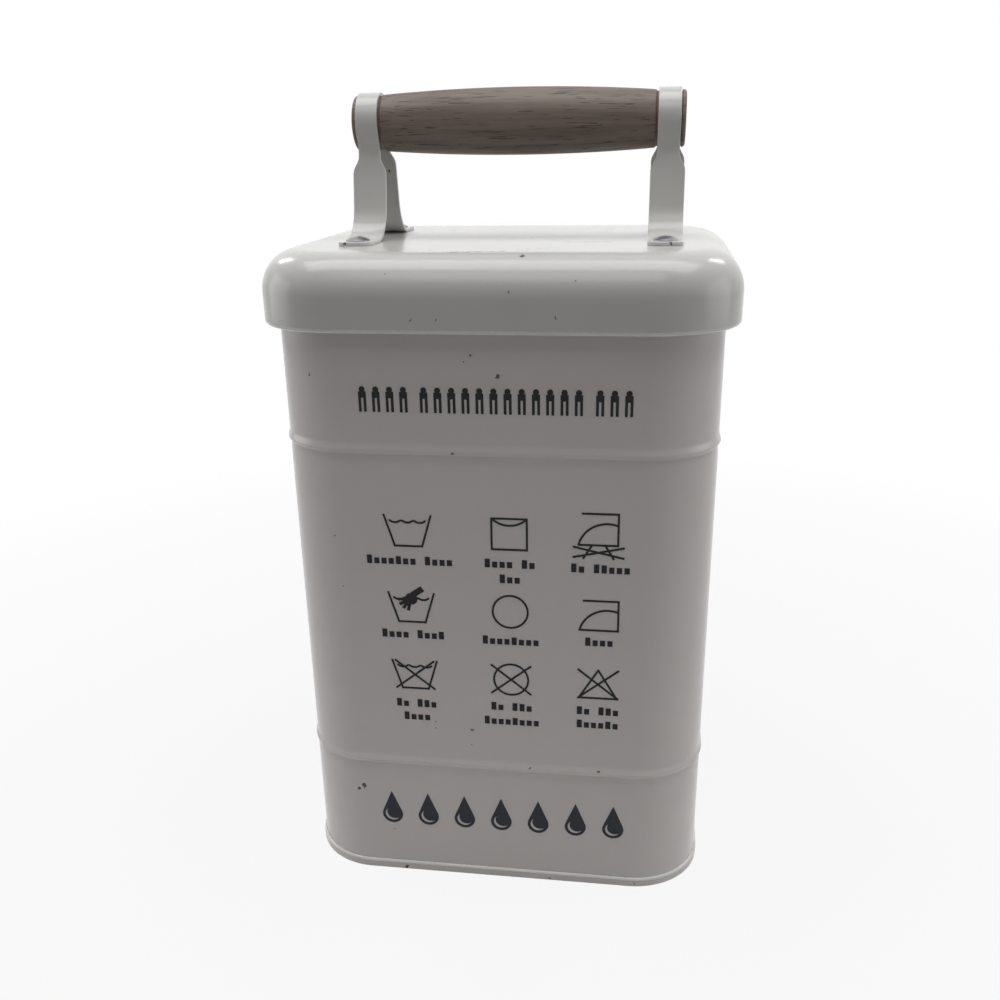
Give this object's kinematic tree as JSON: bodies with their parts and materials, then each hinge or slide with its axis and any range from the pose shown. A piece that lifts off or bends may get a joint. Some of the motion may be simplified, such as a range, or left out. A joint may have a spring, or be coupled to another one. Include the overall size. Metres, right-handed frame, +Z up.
{
  "type": "laundry detergent storage tin",
  "caption": "Painted sheet steel storage tin for laundry powder, with a slip-over lid lifted by a turned wooden grip on strap brackets.",
  "frame": {"origin": "centre of the tin's outline, on the surface it stands on", "axes": "+Z up, the printed front faces -Y, +X to the viewer's right when facing the print, along the grip"},
  "size_m": [0.178, 0.141, 0.3142],
  "materials": {
    "tin_paint": "glossy cream powder coat on sheet steel",
    "lid_paint": "glossy cream powder coat on sheet steel, worn at the rivets",
    "grip_wood": "grey-brown open-pored wood, oiled",
    "rivet_steel": "bright zinc-plated steel",
    "black_ink": "matt black printing ink"
  },
  "bodies": {
    "tin": {"tin_body": "tin_paint", "base_panel": "tin_paint", "print_heading": "black_ink", "print_symbols": "black_ink", "print_captions": "black_ink", "print_title": "black_ink"},
    "lid": {"lid_shell": "lid_paint", "bracket_left": "lid_paint", "bracket_right": "lid_paint", "grip": "grip_wood", "rivet_left_front": "rivet_steel", "rivet_left_rear": "rivet_steel", "rivet_right_front": "rivet_steel", "rivet_right_rear": "rivet_steel"}
  },
  "joints": [
    {"name": "lid_lift", "type": "slide", "parent": "tin", "child": "lid", "axis": [0, 0, 1], "range_m": [0, 0.09]}
  ]
}
